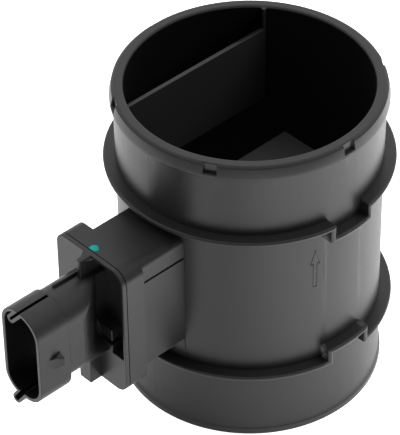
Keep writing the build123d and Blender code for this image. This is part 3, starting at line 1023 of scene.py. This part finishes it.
class DabPaint(bpy.types.Operator):
    """Puts the dab of inspection paint on the frame and the flange"""
    bl_idname = "airflow.dab_paint"
    bl_label = "Dab the inspection paint"

    def execute(self, context):
        paint = context.scene.airflow.paint
        low, high = (Vector(corner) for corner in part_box("paint_mark"))
        centre = (low + high) / 2
        solid = bmesh.new()
        around, sunk = 40, 0.00001
        rings = []
        for share in (1.0, 0.86, 0.6, 0.3):
            rings.append([])
            for step in range(around):
                turn = math.tau * step / around
                wave = 1 + 0.10 * math.sin(3 * turn + 0.7) + 0.06 * math.sin(5 * turn + 2.1)
                reach = paint.across / 2 * share * (wave * share + 1 - share)
                lift = paint.height * (1 - share ** 2) ** 0.5
                lumps = 1 + 0.25 * math.sin(4 * turn + 6 * share)
                rings[-1].append(solid.verts.new((centre.x + 0.82 * reach * math.cos(turn),
                                                  centre.y + reach * math.sin(turn),
                                                  low.z - sunk + lift * lumps)))
        join_rows(solid, rings)
        crown = solid.verts.new((centre.x, centre.y, low.z + paint.height))
        for index in range(around):
            solid.faces.new((rings[-1][index], rings[-1][(index + 1) % around], crown))
        solid.faces.new(rings[0][::-1])
        mesh = to_mesh(solid, "inspection dab", outward=True)
        tidy_shading(mesh)
        piece = link("inspection_dab", mesh, inspection_paint(paint.paint))
        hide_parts("paint_mark")
        return {"FINISHED"}


class FinishParts(bpy.types.Operator):
    """Gives the seal and the electronics inside the finger their materials"""
    bl_idname = "airflow.finish_parts"
    bl_label = "Finish the inner parts"

    def execute(self, context):
        finishes = {
            "body_seal": seal_rubber(), "base_plate": base_plate_metal(),
            "circuit_board": board_ceramic(), "sensor_chip": silicon_die(),
            "protective_gel": soft_gel(), "thermistor_bead": bead_glass(),
            **dict.fromkeys(("evaluation_chip", "chip_carrier"), chip_mould()),
            **dict.fromkeys(CAPACITORS, capacitor_ceramic()),
            **dict.fromkeys(LEADS, tinned_metal("tinned wire", (0.66, 0.66, 0.64), 0.25)),
        }
        for name, material in finishes.items():
            node = NODES[name]
            node.data.materials.clear()
            node.data.materials.append(material)
        return {"FINISHED"}


class SetStage(bpy.types.Operator):
    """Sets the floor, the room's light, the lamps and the camera"""
    bl_idname = "airflow.set_stage"
    bl_label = "Set the stage"

    def execute(self, context):
        stage = context.scene.airflow.stage
        lay_floor(stage)
        light_room(context.scene, stage)
        hang_lamps(stage)
        aim_camera(context.scene, stage)
        context.scene.view_settings.view_transform = "Standard"
        return {"FINISHED"}


def lay_floor(stage):
    """A pale floor, plain white to the camera and darker near the object to reflections, where
    it also glows as painted reflection.
    """
    half = stage.floor_size / 2
    mesh = bpy.data.meshes.new("floor")
    mesh.from_pydata([(-half, -half, 0), (half, -half, 0), (half, half, 0), (-half, half, 0)],
                     [], [(0, 1, 2, 3)])
    floor = add_object("floor", mesh)
    floor.location.z = -0.00002
    paper = Finish("floor paper", roughness=1.0, specular_ior_level=0.0)
    fibre = paper.noise(0.01, 3.0)
    paper.feed(base_color=paper.blend(fibre, shade(stage.floor_tint, 0.99), stage.floor_tint))
    rays = paper.node("ShaderNodeLightPath").outputs
    camera = Value(paper, rays["Is Camera Ray"])
    mirrored = Value(paper, rays["Is Glossy Ray"]) + Value(paper, rays["Is Transmission Ray"])
    # Painted reflection: reflections find the floor glowing, brighter to the right, to the left
    # behind and near the object.
    x, y, _ = paper.axes()
    right = (x * 0.45 - y * 0.89).ramp(0.0, 0.11)
    left = (y * 0.77 - x * 0.64).ramp(0.02, 0.12) * 0.55
    near = 0.26 - (x * x + y * y).ramp(0.0036, 0.0081) * 0.20
    bright = (right + near).math("MAXIMUM", left + near)
    glow = paper.node("ShaderNodeEmission", {
        "Color": paper.blend(camera.math("MAXIMUM", bright), (0, 0, 0), (1, 1, 1)),
        "Strength": 1.0})
    lit = paper.node("ShaderNodeAddShader", {0: paper.shader, 1: glow})
    paper.show(paper.node("ShaderNodeMixShader", {
        0: camera.math("MAXIMUM", mirrored), 1: paper.shader, 2: lit}))
    mesh.materials.append(paper.material)


def light_room(scene, stage):
    """Plain white to the camera; all else sees a room that is brighter behind and above."""
    scene.world = bpy.data.worlds.new("white room")
    scene.world.use_nodes = True
    room = Tree(scene.world.node_tree)
    toward = room.node("ShaderNodeVectorMath", {
        0: room.node("ShaderNodeTexCoord").outputs["Generated"],
        1: Vector((0.52, 0.56, 0.645)).normalized()}, operation="DOT_PRODUCT").outputs["Value"]
    level = Value(room, toward).ramp(0.0, 0.95, least=0.38, most=1.05)
    lit = room.node("ShaderNodeBackground", {"Color": level, "Strength": stage.sky})
    plain = room.node("ShaderNodeBackground", {"Color": (1, 1, 1), "Strength": 1.0})
    camera = room.node("ShaderNodeLightPath").outputs["Is Camera Ray"]
    both = room.node("ShaderNodeMixShader", {0: camera, 1: lit, 2: plain})
    room.node("ShaderNodeOutputWorld", {"Surface": both})


def hang_lamps(stage):
    """Two wide soft lamps that light the floor to the right and to the left behind."""
    for name, place, size, power in (("key lamp", (0.33, -0.32, 0.46), 0.40, stage.key),
                                     ("fill lamp", (-0.30, 0.30, 0.60), 0.45,
                                      stage.key * 0.6)):
        lamp = bpy.data.lights.new(name, "AREA")
        lamp.size = size
        lamp.energy = power
        holder = add_object(name, lamp)
        holder.location = place
        aim = Vector((place[0] * 0.75, place[1] * 0.75, 0)) - Vector(place)
        holder.rotation_euler = aim.to_track_quat("-Z", "Y").to_euler()
        holder.visible_glossy = False


def aim_camera(scene, stage):
    """The camera at its stand, looking down at the sensor."""
    camera = bpy.data.cameras.new("camera")
    holder = add_object("camera", camera)
    level = Vector(stage.gaze).to_track_quat("-Z", "Y")
    twist = Euler((0, 0, stage.roll)).to_quaternion()
    holder.rotation_euler = (level @ twist).to_euler()
    holder.location = stage.eye
    camera.sensor_width = 36.0
    camera.lens = stage.lens
    camera.clip_start = 0.01
    camera.clip_end = 20.0
    scene.camera = holder


# -------------------- panel
STEPS = (MouldTube, MouldPlug, RaiseArrow, TraceSeams, SetTerminals, DabPaint, FinishParts,
         SetStage)


class SensorPanel(bpy.types.Panel):
    """Lists the steps that dress the sensor"""
    bl_idname = "VIEW3D_PT_airflow_sensor"
    bl_label = "Airflow Sensor"
    bl_space_type = "VIEW_3D"
    bl_region_type = "UI"
    bl_category = "Airflow Sensor"

    def draw(self, context):
        for step in STEPS:
            self.layout.operator(step.bl_idname)


GROUPS = (TubeSettings, PlugSettings, ArrowSettings, SeamSettings, TerminalSettings,
          PaintSettings, StageSettings, SensorSettings)


def register():
    for kind in (*GROUPS, *STEPS, SensorPanel):
        bpy.utils.register_class(kind)
    bpy.types.Scene.airflow = PointerProperty(type=SensorSettings)


def unregister():
    del bpy.types.Scene.airflow
    for kind in reversed((*GROUPS, *STEPS, SensorPanel)):
        bpy.utils.unregister_class(kind)


def main():
    register()
    for step in STEPS:
        group, name = step.bl_idname.split(".")
        getattr(getattr(bpy.ops, group), name)()


if __name__ == "__main__":
    main()
